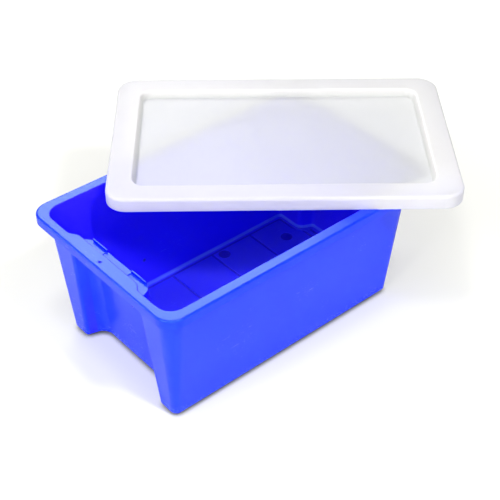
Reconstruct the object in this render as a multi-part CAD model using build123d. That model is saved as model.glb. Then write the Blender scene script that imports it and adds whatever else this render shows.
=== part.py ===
from build123d import *
import os

# Stack-and-nest storage crate with a loose lid, in millimetres, +Z up.
# The origin is the middle of the crate's underside. +X runs along the crate, away from its hand gulley.
# The lid lies askew on the rim: turned, pushed over to one side, its skirt resting on the rim's top.

# Overall size of the crate
CRATE_LENGTH = 645.0
CRATE_WIDTH = 413.0
CRATE_HEIGHT = 276.0

# Levels above the ground
WALL_FOOT = 5.0        # lower edge of the walls, and underside of the floor
FLOOR_TOP = 8.5
SHELF_TOP = 254.0      # the ledges that carry the feet of a crate stacked above
SKIRT_FOOT = 258.0     # lower edge of the rim's skirt

# Wall, rim and floor sections
WALL = 3.0
RIM_RADIUS = 35.0
RIM_EDGE_ROUND = 4.0
SKIRT_WALL = 2.5
FOOT_ROUND = 5.0
INSIDE_ROUND = 7.0
MOUTH_ROUND = 1.8
OVERLAP = 0.5          # how far an added rib or a cut runs past the face it meets

# Outer outline of the walls, each value at the walls' foot and at the rim's top
HALF_LENGTH = (284.0, 307.5)
HALF_WIDTH = (160.5, 187.5)
CORNER_RADIUS = (12.0, 34.0)
GULLEY_X = (245.0, 274.3)       # hand gulley at the -X end: distance of its back wall from the middle
GULLEY_MOUTH_Y = (115.5, 98.0)  # half width where the gulley meets the end wall
GULLEY_BACK_Y = (105.0, 84.0)   # half width at the gulley's back wall
GULLEY_RADIUS = (24.0, 20.0)
NOTCH_X = (255.5, 277.5)        # corner notches at the +X end, which leave a foot between them
NOTCH_TIP_Y = (86.0, 108.0)
NOTCH_ROOT_Y = (99.0, 120.0)
NOTCH_RADIUS = (12.0, 14.0)
SHARP_RADIUS = (8.0, 9.0)       # outer edges of the feet beside a gulley or notch

# Wall between the ledges and the rim, which keeps a stacked crate's feet in place
LEDGE_X = (295.6, 296.4)
LEDGE_NEAR_Y = (87.0, 102.0)
LEDGE_FAR_Y = (126.0, 112.0)
LEDGE_RADIUS = 20.0

# Retaining ribs on the gulley's ledge
RIB_WIDTH = 2.2
RIB_HEIGHT = 5.5
RIB_RETURN_HEIGHT = 1.5
RIB_Y = (36.0, 78.0)

# Runners under the floor, with a groove above each in the floor
RUNNER_WIDTH = 4.5
GROOVE_WIDTH = 5.5
GROOVE_DEPTH = 1.6
CROSS_PITCH = 104.0
CROSS_COUNT = 4
RING_X = (243.0, 254.0)
RING_STEP_Y = (104.0, 84.0)
RING_Y = 148.0
RING_RADIUS = 14.0
FOOT_BAR_X = 268.0
FOOT_BAR_NEAR_Y = (124.0, 148.0)
FOOT_BAR_FAR_Y = 78.0

# Ejector and gate marks, each a shallow round sink
EJECTOR_RADIUS = 12.5
EJECTOR_DEPTH = 0.7
EJECTORS = [(73.5, 132.0), (212.0, 91.5)]
GATE_RADIUS = 1.8
GATE_DEPTH = 0.8
RIM_GATE_X = -309.5
GULLEY_GATE = (-15.0, 157.0)    # Y and height of the sink in the gulley's back wall, outside
SIDE_GATE = (-107.5, 69.0)      # X and height of the sink in the +Y wall, inside

# Lid
LID_LENGTH = 656.0
LID_WIDTH = 420.5
LID_HEIGHT = 27.0
LID_RADIUS = 39.5
LID_WALL = 2.5
LID_EDGE_ROUND = 5.0
RECESS_TOP = (564.0, 332.0, 26.0)     # length, width and corner radius
RECESS_FLOOR = (550.0, 318.0, 18.0)
RECESS_DEPTH = 15.0
RECESS_LIP_ROUND = 3.0
RECESS_FLOOR_ROUND = 4.0

# Half the height of the slice in which an edge counts as lying in a level plane
PLANE_TOLERANCE = 0.01

# Where the lid lies
LID_POSITION = (164.3, 63.5)
LID_TURN = -39.5
LID_GAP = 0.3


def at(pair, z):
    """A value that changes evenly from the walls' foot to the rim's top."""
    share = (z - WALL_FOOT) / (CRATE_HEIGHT - WALL_FOOT)
    return pair[0] + (pair[1] - pair[0]) * share


def rounded_face(points, radii, z):
    """A flat face at height z with every corner of the outline rounded."""
    line = FilletPolyline(*[(x, y, z) for x, y in points], radius=radii, close=True)
    return make_face(line)


def mirrored_outline(half):
    """Closes an outline from its -Y half, given as (x, y, radius) in order of rising x."""
    other = [(x, -y, r) for x, y, r in reversed(half)]
    points = [(x, y) for x, y, r in half + other]
    radii = [r for x, y, r in half + other]
    return points, radii


def wall_outline(z, inset=0.0):
    """The walls' outline at height z below the ledges, set in by the wall for their inner face."""
    length = at(HALF_LENGTH, z) - inset
    width = at(HALF_WIDTH, z) - inset
    gulley = at(GULLEY_X, z) - inset
    notch = at(NOTCH_X, z) - inset
    half = [
        (-gulley, -at(GULLEY_BACK_Y, z) - inset, at(GULLEY_RADIUS, z) + inset),
        (-length, -at(GULLEY_MOUTH_Y, z) - inset, at(SHARP_RADIUS, z) - inset),
        (-length, -width, at(CORNER_RADIUS, z) - inset),
        (notch, -width, at(CORNER_RADIUS, z) - inset),
        (notch, -at(NOTCH_ROOT_Y, z) + inset, at(NOTCH_RADIUS, z) + inset),
        (length, -at(NOTCH_TIP_Y, z) + inset, at(SHARP_RADIUS, z) + inset),
    ]
    return rounded_face(*mirrored_outline(half), z)


def ledge_outline(z, inset=0.0):
    """The outline of the wall between the ledges and the rim."""
    length = at(HALF_LENGTH, z) - inset
    width = at(HALF_WIDTH, z) - inset
    ledge = at(LEDGE_X, z) - inset
    corner = at(CORNER_RADIUS, z) - inset
    half = [
        (-ledge, -LEDGE_NEAR_Y[0], LEDGE_RADIUS),
        (-length, -LEDGE_NEAR_Y[1], LEDGE_RADIUS),
        (-length, -width, corner),
        (ledge, -width, corner),
        (ledge, -LEDGE_FAR_Y[0], LEDGE_RADIUS),
        (length, -LEDGE_FAR_Y[1], LEDGE_RADIUS),
    ]
    return rounded_face(*mirrored_outline(half), z)


def edges_at(shape, z):
    """The edges that lie in the plane at height z."""
    return shape.edges().filter_by_position(Axis.Z, z - PLANE_TOLERANCE, z + PLANE_TOLERANCE)


def inner_edges_at(shape, z, half_width):
    """The edges in the plane at height z that lie within half_width of the middle."""
    return [e for e in edges_at(shape, z) if max(abs(v.Y) for v in e.vertices()) < half_width]


def drafted(outline, low, high, inset=0.0):
    """A solid that tapers evenly between an outline's sections at two heights."""
    return loft([outline(low, inset), outline(high, inset)], ruled=True)


def plate(length, width, radius, low, high):
    """A rounded rectangle between two heights."""
    return Pos(0, 0, low) * extrude(RectangleRounded(length, width, radius), high - low)


def tapered_plate(low_size, high_size, low, high):
    """A solid between two rounded rectangles of different size."""
    bottom = Pos(0, 0, low) * RectangleRounded(*low_size)
    top = Pos(0, 0, high) * RectangleRounded(*high_size)
    return loft([bottom, top], ruled=True)


def grown(size, amount):
    """A rounded rectangle's length, width and radius, grown by amount on every side."""
    return size[0] + 2 * amount, size[1] + 2 * amount, size[2] + amount


def bar(x0, x1, y0, y1, z0, z1):
    """A box given by its limits."""
    return Pos((x0 + x1) / 2, (y0 + y1) / 2, (z0 + z1) / 2) * Box(x1 - x0, y1 - y0, z1 - z0)


def ring(width, low, high):
    """The closed band that follows the floor's edge, centred on its line."""
    def outline(offset):
        near = RING_X[0] + offset
        half = [
            (-RING_X[0] + (RING_X[1] - RING_X[0]) - offset, -RING_STEP_Y[1] - offset, RING_RADIUS),
            (-near, -RING_STEP_Y[0] - offset, RING_RADIUS),
            (-near, -RING_Y - offset, RING_RADIUS / 2),
            (near, -RING_Y - offset, RING_RADIUS / 2),
            (near, -RING_STEP_Y[0] + offset, RING_RADIUS),
            (RING_X[1] + offset, -RING_STEP_Y[1] + offset, RING_RADIUS),
        ]
        return rounded_face(*mirrored_outline(half), low)
    return extrude(outline(width / 2) - outline(-width / 2), high - low, dir=(0, 0, 1))


def runner_network(width, low, high):
    """The ring, the cross bars and the bars under the feet: runners below, grooves above."""
    half = width / 2
    shapes = [ring(width, low, high)]
    for k in range(CROSS_COUNT):
        x = (k - (CROSS_COUNT - 1) / 2) * CROSS_PITCH
        shapes.append(bar(x - half, x + half, -RING_Y, RING_Y, low, high))
    shapes.append(bar(FOOT_BAR_X - half, FOOT_BAR_X + half, -FOOT_BAR_FAR_Y, FOOT_BAR_FAR_Y, low, high))
    for side in (-1, 1):
        y0, y1 = sorted((side * FOOT_BAR_NEAR_Y[0], side * FOOT_BAR_NEAR_Y[1]))
        shapes.append(bar(-FOOT_BAR_X - half, -FOOT_BAR_X + half, y0, y1, low, high))
    return shapes


def rim_flange():
    """The flat rim with its turned-down skirt, solid across the opening until the inside is cut."""
    slab = plate(CRATE_LENGTH, CRATE_WIDTH, RIM_RADIUS, SKIRT_FOOT, CRATE_HEIGHT)
    slab = fillet(edges_at(slab, CRATE_HEIGHT), RIM_EDGE_ROUND)
    hollow = plate(
        CRATE_LENGTH - 2 * SKIRT_WALL,
        CRATE_WIDTH - 2 * SKIRT_WALL,
        RIM_RADIUS - SKIRT_WALL,
        SKIRT_FOOT,
        CRATE_HEIGHT - WALL,
    )
    hollow = fillet(edges_at(hollow, CRATE_HEIGHT - WALL), RIM_EDGE_ROUND - SKIRT_WALL)
    return slab - hollow


def retaining_ribs():
    """The two angled ribs on the gulley's ledge."""
    x = -at(GULLEY_X, SHELF_TOP) + WALL
    back = -at(LEDGE_X, SHELF_TOP) + WALL
    foot = SHELF_TOP - OVERLAP
    ribs = []
    for side in (-1, 1):
        y0, y1 = sorted((side * RIB_Y[0], side * RIB_Y[1]))
        end0, end1 = sorted((side * RIB_Y[0], side * (RIB_Y[0] + RIB_WIDTH)))
        ribs.append(bar(x - RIB_WIDTH, x, y0, y1, foot, SHELF_TOP + RIB_HEIGHT))
        ribs.append(bar(back - OVERLAP, x, end0, end1, foot, SHELF_TOP + RIB_RETURN_HEIGHT))
    return ribs


def moulding_marks():
    """The round sinks that ejector pins and gates leave."""
    marks = []
    for x, y in EJECTORS:
        for side in (-1, 1):
            mark = Cylinder(EJECTOR_RADIUS, 2 * EJECTOR_DEPTH)
            marks.append(Pos(x, side * y, FLOOR_TOP) * mark)
    gate = Cylinder(GATE_RADIUS, 2 * GATE_DEPTH)
    gulley_y, gulley_z = GULLEY_GATE
    side_x, side_z = SIDE_GATE
    marks.append(Pos(RIM_GATE_X, 0, CRATE_HEIGHT) * gate)
    marks.append(Pos(-at(GULLEY_X, gulley_z), gulley_y, gulley_z) * Rot(0, 90, 0) * gate)
    marks.append(Pos(side_x, at(HALF_WIDTH, side_z) - WALL, side_z) * Rot(90, 0, 0) * gate)
    return marks


def crate():
    """The crate: one moulding, with a gulley at one end and a foot at the other."""
    walls = drafted(wall_outline, WALL_FOOT, SHELF_TOP - WALL)
    walls = fillet(edges_at(walls, WALL_FOOT), FOOT_ROUND)
    upper = drafted(ledge_outline, SHELF_TOP - WALL, CRATE_HEIGHT)
    inside = drafted(wall_outline, FLOOR_TOP, SHELF_TOP, WALL)
    inside = fillet(edges_at(inside, FLOOR_TOP), INSIDE_ROUND)
    mouth = drafted(ledge_outline, SHELF_TOP, CRATE_HEIGHT, WALL)
    body = walls + upper + rim_flange()
    body = body - inside - mouth
    body = fillet(inner_edges_at(body, CRATE_HEIGHT, at(HALF_WIDTH, CRATE_HEIGHT)), MOUTH_ROUND)
    for runner in runner_network(RUNNER_WIDTH, 0.0, WALL_FOOT + OVERLAP):
        body = body + runner
    for groove in runner_network(GROOVE_WIDTH, FLOOR_TOP - GROOVE_DEPTH, FLOOR_TOP + OVERLAP):
        body = body - groove
    for rib in retaining_ribs():
        body = body + rib
    for mark in moulding_marks():
        body = body - mark
    return body


def lid():
    """The lid: a raised border with a skirt round a sunken panel, before it is laid on the crate."""
    slab = plate(LID_LENGTH, LID_WIDTH, LID_RADIUS, 0.0, LID_HEIGHT)
    slab = fillet(edges_at(slab, LID_HEIGHT), LID_EDGE_ROUND)
    panel_top = LID_HEIGHT - RECESS_DEPTH
    recess = tapered_plate(RECESS_FLOOR, RECESS_TOP, panel_top, LID_HEIGHT)
    recess = fillet(edges_at(recess, panel_top), RECESS_FLOOR_ROUND)
    slab = slab - recess
    slab = fillet(inner_edges_at(slab, LID_HEIGHT, RECESS_TOP[1] / 2 + PLANE_TOLERANCE), RECESS_LIP_ROUND)
    hollow = plate(
        LID_LENGTH - 2 * LID_WALL, LID_WIDTH - 2 * LID_WALL, LID_RADIUS - LID_WALL, 0.0, LID_HEIGHT - LID_WALL
    )
    tray = tapered_plate(
        grown(RECESS_FLOOR, LID_WALL), grown(RECESS_TOP, LID_WALL), panel_top - LID_WALL, LID_HEIGHT - LID_WALL
    )
    return slab - (hollow - tray)


def laid_on_rim(piece):
    """Moves the lid to where it lies, just clear of the rim."""
    return Pos(*LID_POSITION, CRATE_HEIGHT + LID_GAP) * Rot(0, 0, LID_TURN) * piece


os.makedirs("parts", exist_ok=True)
export_step(crate(), "parts/crate.step")
export_step(laid_on_rim(lid()), "parts/lid.step")
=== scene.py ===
import math

import bpy
from mathutils import Matrix, Vector

# A blue stack-and-nest crate with its loose, milky lid lying askew on the rim, on a white studio floor.
# Lengths and places are in metres and angles in degrees, unless a line says otherwise.
# A pair of limits for a mask runs from where the mask is nothing to where it is full.

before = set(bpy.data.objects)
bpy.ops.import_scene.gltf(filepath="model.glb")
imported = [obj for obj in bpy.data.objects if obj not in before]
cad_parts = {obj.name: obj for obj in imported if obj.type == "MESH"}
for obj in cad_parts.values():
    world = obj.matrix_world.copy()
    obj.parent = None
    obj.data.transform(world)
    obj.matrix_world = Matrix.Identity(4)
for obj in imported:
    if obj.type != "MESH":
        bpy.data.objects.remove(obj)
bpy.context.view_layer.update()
scene = bpy.context.scene
scene.view_settings.view_transform = "Standard"

# Camera
CAMERA_AZIMUTH = -41.393
CAMERA_ELEVATION = 39.118
CAMERA_ROLL = 0.531
CAMERA_DISTANCE = 2.2420
CAMERA_TARGET = Vector((0.0566, 0.0047, 0.1011))
CAMERA_LENS = 81.84                # millimetres
CAMERA_SHIFT = (-0.0175, 0.0044)   # shares of the frame's width
CAMERA_REACH = 50                  # nothing farther away is drawn

# Softboxes: name, place, the point it faces, width and height, watts
SOFTBOXES = [
    ("key_box", (0.05, -2.2, 3.1), (0.0, 0.0, 0.2), (0.45, 0.45), 95),
    ("front_box", (-1.3, -2.0, 0.42), (0.0, 0.0, 0.2), (1.2, 0.5), 36),
    ("side_box", (-2.2, -0.5, 2.0), (0.0, 0.0, 0.2), (1.2, 1.4), 62),
    ("left_box", (-2.6, 1.5, 0.75), (-0.2, 0.0, 0.2), (1.2, 0.8), 36),
    ("top_box", (-0.6, -0.3, 2.9), (-0.1, 0.0, 0.2), (0.45, 0.45), 22),
    ("back_box", (1.25, 2.1, 2.4), (-0.1, 0.0, 0.28), (1.6, 1.2), 42),
]
WORLD_STRENGTH = 0.30
WHITE = (1.0, 1.0, 1.0)

# Floor
FLOOR_HALF = 20.0
FLOOR_COLOUR = (0.47, 0.47, 0.43)
FLOOR_PALE = (0.48, 0.48, 0.44)
# Painted contact shadow: the floor darkened where the crate is close above it
FLOOR_CONTACT_SHADOW = (0.18, 0.18, 0.19)
FLOOR_ROUGHNESS = 0.9
FLOOR_CLOUDS = (1.5, 2.0, 0.5)     # noise scale, detail and roughness, as for every pattern below
FLOOR_CONTRAST = (0.3, 0.7)
OPENNESS_REACH = 0.012             # how far round a point of the floor things count as near it
OPENNESS_SAMPLES = 8
CONTACT_OPENNESS = (0.75, 0.35)
GLOW_OPENNESS = (0.40, 0.95)
GLOW_DISTANCE = (0.45, 1.3)        # from the middle of the crate
GLOW_STRENGTH = (0.28, 0.56)       # at those two distances

# Plastics
PLASTIC_IOR = 1.49
EDGE_SOFTENING = 0.0008
EDGE_SAMPLES = 4
CLOUD_CONTRAST = (0.35, 0.65)
PATCH_CONTRAST = (0.52, 0.68)
SCRATCH_NOISE = (2.0, 0.4)         # detail and roughness
SCRATCH_CONTRAST = (0.66, 0.72)

# Crate colours, with painted light and shade on the inside: shade on the inward faces, light on the pan, a
# highlight on the curve between them and shade in the sunk marks
CRATE_BLUE = (0.006, 0.030, 0.98)
CRATE_PALE = (0.008, 0.036, 0.99)
# Painted shade: the violet tone of the shaded inside, put on every inward face
CRATE_INSIDE_SHADE = (0.028, 0.015, 0.99)
# Painted highlight: a bright band along the curve between the inner floor and the walls
CRATE_FILLET_HIGHLIGHT = (0.075, 0.115, 1.0)
# Painted light: a lighter, bluer tone on the inner floor pan, which faces the light from above
CRATE_PAN_LIGHT = (0.034, 0.032, 1.0)
# Painted shade: a dark tone in sunk places, the floor's ejector marks and grooves and the gate marks
CRATE_SUNK_SHADE = (0.014, 0.006, 0.42)
CRATE_SCUFF = (0.16, 0.22, 0.92)

# Crate patterns; a set of scratches has its noise scale, its stretch and its turn in radians
CRATE_CLOUDS = (7.0, 4.0, 0.6)
CRATE_GRAIN = (1400.0, 2.0, 0.6)
CRATE_SCRATCHES = [(30.0, (1.0, 14.0, 14.0), 0.5), (36.0, (12.0, 1.0, 12.0), 0.3)]
CRATE_PATCHES = (11.0, 3.0, 0.5)
CRATE_RUBBING = (260.0, 3.0, 0.7)
CRATE_WAVES = (9.0, 1.0, 0.4)
GRAIN_CONTRAST = (0.3, 0.7)
RUBBING_CONTRAST = (0.50, 0.72)

# Crate finish; its relief is the height and strength of the waves, of the scuffs and of the grain
CRATE_RELIEF = [(0.0008, 0.25), (-0.00004, 0.3), (0.00002, 0.3)]
CRATE_ROUGHNESS = (0.21, 0.25)
GRAIN_ROUGHNESS = (-0.02, 0.02)
CRATE_SCUFF_ROUGHNESS = 0.06
RUBBED_ROUGHNESS = 0.20
CRATE_SCUFF_TINT = 0.07
RUBBED_TINT = 0.30
CRATE_SPECULAR = 0.45
CRATE_SPECULAR_TINT = (0.34, 0.74, 1.0, 1.0)
CRATE_SCATTER = 0.8                 # share of the light that scatters under the surface
CRATE_SCATTER_RADIUS = (0.1, 0.1, 1.0)
CRATE_SCATTER_DEPTH = 0.008

# Where the crate's tones change, both its wear and its painted light and shade: heights above the ground, and
# how far a face looks up (1 for a level top)
INWARD = (0.0, -0.05)               # distance from the middle line times the normal's part away from it
WEAR_HEIGHT = (0.030, 0.004)
PAN_HEIGHT = (0.06, 0.03)
PAN_UPWARD = (0.4, 0.6)
# where the painted highlight on the curve between the inner floor and the walls lies
CORNER_HEIGHT = (0.020, 0.016)
CORNER_UPWARD = (0.15, 0.45)
CORNER_NOT_FLAT = (0.98, 0.85)
SUNK_HEIGHT = (0.0084, 0.0079)      # just under the floor's top, so in its ejector marks and grooves, which are painted darker as shade
SUNK_UPWARD = (0.3, 0.6)
MARK_TO_GROOVE = (0.0076, 0.0071)   # between the bottom of the marks and that of the grooves
SUNK_TINT = (0.8, 0.5)              # how much painted shade goes in the marks and in the grooves

# Gate marks: on the gulley end's rim, in the gulley's back wall and inside the far long wall; each small pit
# is painted dark as shade
GATE_RADIUS = 0.0034
GATE_EDGE = (1.25, 0.75)            # shares of the radius between which a mark fades in
GATE_MARKS = [(-0.3095, 0.0, 0.2755), (-0.2614, -0.015, 0.157), (-0.1075, 0.1645, 0.069)]

# Lid
LID_WHITE = (0.52, 0.514, 0.512)
LID_WARM = (0.52, 0.508, 0.502)
# Painted shade: the sunken panel a little darker than the border
LID_PANEL_SHADE = (0.455, 0.460, 0.450)
PANEL_HEIGHT = (0.300, 0.291)       # from the border down to the sunken panel
PANEL_UPWARD = (0.1, 0.3)
LID_CLOUDS = (5.0, 4.0, 0.6)
LID_GRAIN = (1100.0, 2.0, 0.6)
LID_SCRATCHES = [(26.0, (1.0, 16.0, 16.0), 0.9), (34.0, (13.0, 1.0, 13.0), 0.2)]
LID_PATCHES = (9.0, 3.0, 0.5)
LID_WAVES = (6.0, 1.0, 0.4)
LID_RELIEF = [(0.0008, 0.5), (-0.00005, 0.6), (0.00005, 0.4)]
LID_ROUGHNESS = (0.42, 0.50)
LID_SCUFF_ROUGHNESS = 0.18
LID_SCATTER = 1.0
LID_SCATTER_RADIUS = (1.0, 1.0, 1.0)
LID_SCATTER_DEPTH = 0.020


def place_camera():
    """Puts the camera where it looks at the crate's gulley end and near long side from above."""
    azimuth, elevation = math.radians(CAMERA_AZIMUTH), math.radians(CAMERA_ELEVATION)
    roll = math.radians(CAMERA_ROLL)
    back = Vector((
        math.sin(azimuth) * math.cos(elevation),
        -math.cos(azimuth) * math.cos(elevation),
        math.sin(elevation),
    ))
    level = (-back).cross(Vector((0, 0, 1))).normalized()
    upright = level.cross(-back)
    right = level * math.cos(roll) + upright * math.sin(roll)
    up = upright * math.cos(roll) - level * math.sin(roll)
    data = bpy.data.cameras.new("view")
    data.lens = CAMERA_LENS
    data.shift_x, data.shift_y = CAMERA_SHIFT
    data.clip_end = CAMERA_REACH
    camera = bpy.data.objects.new("view", data)
    place = Matrix((right, up, back)).transposed().to_4x4()
    place.translation = CAMERA_TARGET + back * CAMERA_DISTANCE
    camera.matrix_world = place
    scene.collection.objects.link(camera)
    scene.camera = camera


def soft_light(name, place, target, size, power):
    """A softbox: a white rectangular area light that faces a point."""
    data = bpy.data.lights.new(name, "AREA")
    data.shape = "RECTANGLE"
    data.size, data.size_y = size
    data.energy = power
    light = bpy.data.objects.new(name, data)
    light.location = place
    aim = Vector(place) - Vector(target)
    light.rotation_mode = "QUATERNION"
    light.rotation_quaternion = aim.to_track_quat("Z", "Y")
    scene.collection.objects.link(light)


def light_scene():
    """An even white surround, with the softboxes round the crate and above it."""
    world = bpy.data.worlds.new("studio")
    world.use_nodes = True
    background = world.node_tree.nodes["Background"]
    background.inputs["Color"].default_value = (*WHITE, 1.0)
    background.inputs["Strength"].default_value = WORLD_STRENGTH
    scene.world = world
    for softbox in SOFTBOXES:
        soft_light(*softbox)


class Nodes:
    """Short calls for building one material's node tree."""

    def __init__(self, name):
        self.material = bpy.data.materials.new(name)
        self.material.use_nodes = True
        self.tree = self.material.node_tree
        self.shader = self.tree.nodes["Principled BSDF"]

    def node(self, kind, inputs=None, **settings):
        made = self.tree.nodes.new(kind)
        for key, value in settings.items():
            setattr(made, key, value)
        for key, value in (inputs or {}).items():
            self.give(made.inputs[key], value)
        return made

    def give(self, socket, value):
        """Links a socket to another's output, or sets its plain value."""
        if isinstance(value, bpy.types.NodeSocket):
            self.tree.links.new(value, socket)
        else:
            socket.default_value = value

    def finish(self, values):
        """Gives the shader its inputs by name."""
        for key, value in values.items():
            self.give(self.shader.inputs[key], value)

    def place(self, stretch=(1, 1, 1), turn=0.0):
        """Where a point is on the object, scaled along each axis and turned about the upright."""
        coordinates = self.node("ShaderNodeTexCoord")
        mapping = self.node("ShaderNodeMapping", {"Vector": coordinates.outputs["Object"]})
        mapping.inputs["Scale"].default_value = stretch
        mapping.inputs["Rotation"].default_value = (0, 0, turn)
        return mapping.outputs["Vector"]

    def noise(self, scale, detail, rough, where=None):
        made = self.node("ShaderNodeTexNoise", {"Scale": scale, "Detail": detail, "Roughness": rough})
        self.give(made.inputs["Vector"], where or self.place())
        return made.outputs["Fac"]

    def ramp(self, value, low, high, to_low=0.0, to_high=1.0):
        made = self.node(
            "ShaderNodeMapRange",
            {"Value": value, "From Min": low, "From Max": high, "To Min": to_low, "To Max": to_high},
        )
        return made.outputs["Result"]

    def calculate(self, operation, a, b):
        made = self.node("ShaderNodeMath", operation=operation)
        self.give(made.inputs[0], a)
        self.give(made.inputs[1], b)
        return made.outputs[0]

    def mix(self, share, a, b):
        """Colour a, with a share of colour b."""
        made = self.node("ShaderNodeMix", data_type="RGBA")
        self.give(made.inputs["Factor"], share)
        self.give(made.inputs["A"], a if isinstance(a, bpy.types.NodeSocket) else (*a, 1.0))
        self.give(made.inputs["B"], b if isinstance(b, bpy.types.NodeSocket) else (*b, 1.0))
        return made.outputs["Result"]

    def bump(self, height, distance, strength, under):
        """A raised pattern on top of the normal under it."""
        made = self.node("ShaderNodeBump", {"Height": height, "Distance": distance, "Strength": strength})
        self.give(made.inputs["Normal"], under)
        return made.outputs["Normal"]

    def scratches(self, scale, stretch, turn):
        """Thin marks: the crests of a noise drawn out along one direction."""
        drawn_out = self.noise(scale, *SCRATCH_NOISE, self.place(stretch, turn))
        return self.ramp(drawn_out, *SCRATCH_CONTRAST)

    def scuffs(self, scratches, patches):
        """Scratches in two directions, here and there."""
        first, second = [self.scratches(*marks) for marks in scratches]
        where = self.ramp(self.noise(*patches), *PATCH_CONTRAST)
        return self.calculate("MULTIPLY", self.calculate("MAXIMUM", first, second), where)

    def relief(self, waves, scuffs, grain, bumps):
        """The surface's normal: softened edges, then shallow waves, sunk scuffs and a fine grain."""
        wave_bump, scuff_bump, grain_bump = bumps
        edges = self.node("ShaderNodeBevel", {"Radius": EDGE_SOFTENING}, samples=EDGE_SAMPLES)
        normal = self.bump(self.noise(*waves), *wave_bump, edges.outputs["Normal"])
        normal = self.bump(scuffs, *scuff_bump, normal)
        return self.bump(grain, *grain_bump, normal)

    def height(self):
        """Height above the ground, with the object at rest."""
        coordinates = self.node("ShaderNodeTexCoord")
        parts = self.node("ShaderNodeSeparateXYZ", {"Vector": coordinates.outputs["Object"]})
        return parts.outputs["Z"]

    def upward(self):
        """How far a face looks up: one for a level top, zero for a wall."""
        coordinates = self.node("ShaderNodeTexCoord")
        parts = self.node("ShaderNodeSeparateXYZ", {"Vector": coordinates.outputs["Normal"]})
        return parts.outputs["Z"]

    def inside(self):
        """One on faces turned toward the upright middle line and on the floor pan, zero on outward ones."""
        here = self.node("ShaderNodeTexCoord")
        level = (1, 1, 0)
        away = self.node("ShaderNodeVectorMath", {0: here.outputs["Object"], 1: level}, operation="MULTIPLY")
        outward = self.node(
            "ShaderNodeVectorMath",
            {0: here.outputs["Normal"], 1: away.outputs["Vector"]},
            operation="DOT_PRODUCT",
        )
        walls = self.ramp(outward.outputs["Value"], *INWARD)
        return self.calculate("MAXIMUM", walls, self.pan())

    def pan(self):
        """One on the floor pan, inside."""
        level = self.ramp(self.upward(), *PAN_UPWARD)
        return self.calculate("MULTIPLY", level, self.ramp(self.height(), *PAN_HEIGHT))

    def corner(self):
        """Where the painted highlight goes: one low down on the curve between the pan and the walls, zero on
        the pan and on the walls.
        """
        slope = self.calculate(
            "MULTIPLY", self.ramp(self.upward(), *CORNER_UPWARD), self.ramp(self.upward(), *CORNER_NOT_FLAT)
        )
        return self.calculate("MULTIPLY", slope, self.ramp(self.height(), *CORNER_HEIGHT))

    def sunk(self):
        """The share of painted shade in the floor's ejector marks and grooves."""
        level = self.ramp(self.upward(), *SUNK_UPWARD)
        below = self.calculate("MULTIPLY", self.ramp(self.height(), *SUNK_HEIGHT), level)
        return self.calculate("MULTIPLY", below, self.ramp(self.height(), *MARK_TO_GROOVE, *SUNK_TINT))

    def gate_marks(self):
        """One within a small ball round each gate mark, zero elsewhere."""
        marks = 0.0
        outer, inner = GATE_EDGE
        for place in GATE_MARKS:
            here = self.node("ShaderNodeTexCoord").outputs["Object"]
            away = self.node("ShaderNodeVectorMath", {0: here, 1: place}, operation="DISTANCE")
            spot = self.ramp(away.outputs["Value"], GATE_RADIUS * outer, GATE_RADIUS * inner)
            marks = self.calculate("MAXIMUM", spot, marks)
        return marks


def crate_plastic():
    """Blue moulded polypropylene: satin, with a fine grain, faint flow clouds and light handling scuffs."""
    n = Nodes("crate_plastic")
    clouds = n.ramp(n.noise(*CRATE_CLOUDS), *CLOUD_CONTRAST)
    grain = n.noise(*CRATE_GRAIN)
    scuffs = n.scuffs(CRATE_SCRATCHES, CRATE_PATCHES)
    inside = n.inside()
    low = n.calculate("MULTIPLY", n.ramp(n.height(), *WEAR_HEIGHT), n.calculate("SUBTRACT", 1.0, inside))
    rubbed = n.calculate("MULTIPLY", low, n.ramp(n.noise(*CRATE_RUBBING), *RUBBING_CONTRAST))
    gates = n.gate_marks()
    tints = [
        # painted shade on the inward faces
        (inside, CRATE_INSIDE_SHADE),
        # painted light on the floor pan
        (n.pan(), CRATE_PAN_LIGHT),
        # painted highlight on the curve between floor and walls
        (n.calculate("MULTIPLY", n.corner(), inside), CRATE_FILLET_HIGHLIGHT),
        # painted shade in the sunk marks and grooves
        (n.sunk(), CRATE_SUNK_SHADE),
        # painted shade in the gate marks' pits
        (gates, CRATE_SUNK_SHADE),
        (n.calculate("MULTIPLY", scuffs, CRATE_SCUFF_TINT), CRATE_SCUFF),
        (n.calculate("MULTIPLY", rubbed, RUBBED_TINT), CRATE_SCUFF),
    ]
    colour = n.mix(clouds, CRATE_BLUE, CRATE_PALE)
    for share, tint in tints:
        colour = n.mix(share, colour, tint)
    additions = [
        n.ramp(grain, *GRAIN_CONTRAST, *GRAIN_ROUGHNESS),
        n.calculate("MULTIPLY", scuffs, CRATE_SCUFF_ROUGHNESS),
        n.calculate("MULTIPLY", rubbed, RUBBED_ROUGHNESS),
    ]
    roughness = n.ramp(clouds, 0.0, 1.0, *CRATE_ROUGHNESS)
    for addition in additions:
        roughness = n.calculate("ADD", roughness, addition)
    n.finish({
        "Base Color": colour,
        "Roughness": n.calculate("MAXIMUM", roughness, gates),
        "Normal": n.relief(CRATE_WAVES, scuffs, grain, CRATE_RELIEF),
        "IOR": PLASTIC_IOR,
        "Specular IOR Level": CRATE_SPECULAR,
        "Specular Tint": CRATE_SPECULAR_TINT,
        "Subsurface Weight": CRATE_SCATTER,
        "Subsurface Radius": CRATE_SCATTER_RADIUS,
        "Subsurface Scale": CRATE_SCATTER_DEPTH,
    })
    return n.material


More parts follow.
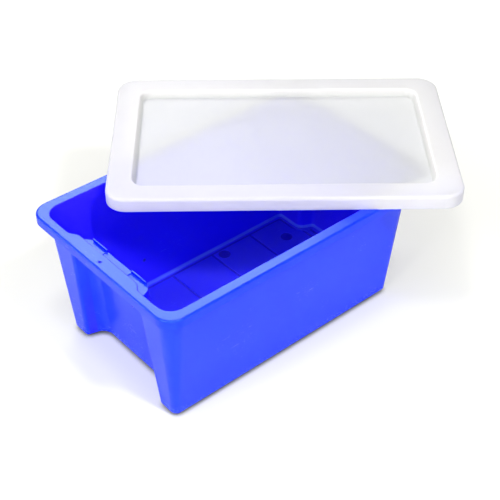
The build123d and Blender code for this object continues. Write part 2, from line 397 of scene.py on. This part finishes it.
def lid_plastic():
    """Natural polypropylene: milky, so that light and the crate's blue come softly through."""
    n = Nodes("lid_plastic")
    clouds = n.ramp(n.noise(*LID_CLOUDS), *CLOUD_CONTRAST)
    grain = n.noise(*LID_GRAIN)
    scuffs = n.scuffs(LID_SCRATCHES, LID_PATCHES)
    # painted shade on the sunken panel
    panel = n.calculate("MULTIPLY", n.ramp(n.height(), *PANEL_HEIGHT), n.ramp(n.upward(), *PANEL_UPWARD))
    roughness = n.ramp(clouds, 0.0, 1.0, *LID_ROUGHNESS)
    scuffed = n.calculate("MULTIPLY", scuffs, LID_SCUFF_ROUGHNESS)
    n.finish({
        "Base Color": n.mix(panel, n.mix(clouds, LID_WHITE, LID_WARM), LID_PANEL_SHADE),
        "Roughness": n.calculate("ADD", roughness, scuffed),
        "Normal": n.relief(LID_WAVES, scuffs, grain, LID_RELIEF),
        "IOR": PLASTIC_IOR,
        "Subsurface Weight": LID_SCATTER,
        "Subsurface Radius": LID_SCATTER_RADIUS,
        "Subsurface Scale": LID_SCATTER_DEPTH,
    })
    return n.material


def lay_floor():
    """A seamless white floor, shaded where it meets the crate. To the camera alone it also glows a little."""
    n = Nodes("floor_white")
    openness = n.node(
        "ShaderNodeAmbientOcclusion", {"Distance": OPENNESS_REACH}, samples=OPENNESS_SAMPLES
    ).outputs["AO"]
    colour = n.mix(n.ramp(n.noise(*FLOOR_CLOUDS), *FLOOR_CONTRAST), FLOOR_COLOUR, FLOOR_PALE)
    seen = n.node("ShaderNodeLightPath").outputs["Is Camera Ray"]
    here = n.node("ShaderNodeTexCoord").outputs["Object"]
    far = n.node("ShaderNodeVectorMath", {0: here}, operation="LENGTH").outputs["Value"]
    glow = n.calculate(
        "MULTIPLY", n.ramp(openness, *GLOW_OPENNESS), n.ramp(far, *GLOW_DISTANCE, *GLOW_STRENGTH)
    )
    n.finish({
        # painted contact shadow where the crate is close
        "Base Color": n.mix(n.ramp(openness, *CONTACT_OPENNESS), colour, FLOOR_CONTACT_SHADOW),
        "Roughness": FLOOR_ROUGHNESS,
        "Emission Color": (*WHITE, 1.0),
        "Emission Strength": n.calculate("MULTIPLY", seen, glow),
    })
    half = FLOOR_HALF
    corners = [(-half, -half, 0), (half, -half, 0), (half, half, 0), (-half, half, 0)]
    mesh = bpy.data.meshes.new("floor")
    mesh.from_pydata(corners, [], [(0, 1, 2, 3)])
    mesh.materials.append(n.material)
    floor = bpy.data.objects.new("floor", mesh)
    scene.collection.objects.link(floor)


def dress(node, material):
    """Gives a CAD node its finish."""
    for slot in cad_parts[node].material_slots:
        slot.material = material


place_camera()
light_scene()
lay_floor()
dress("crate", crate_plastic())
dress("lid", lid_plastic())
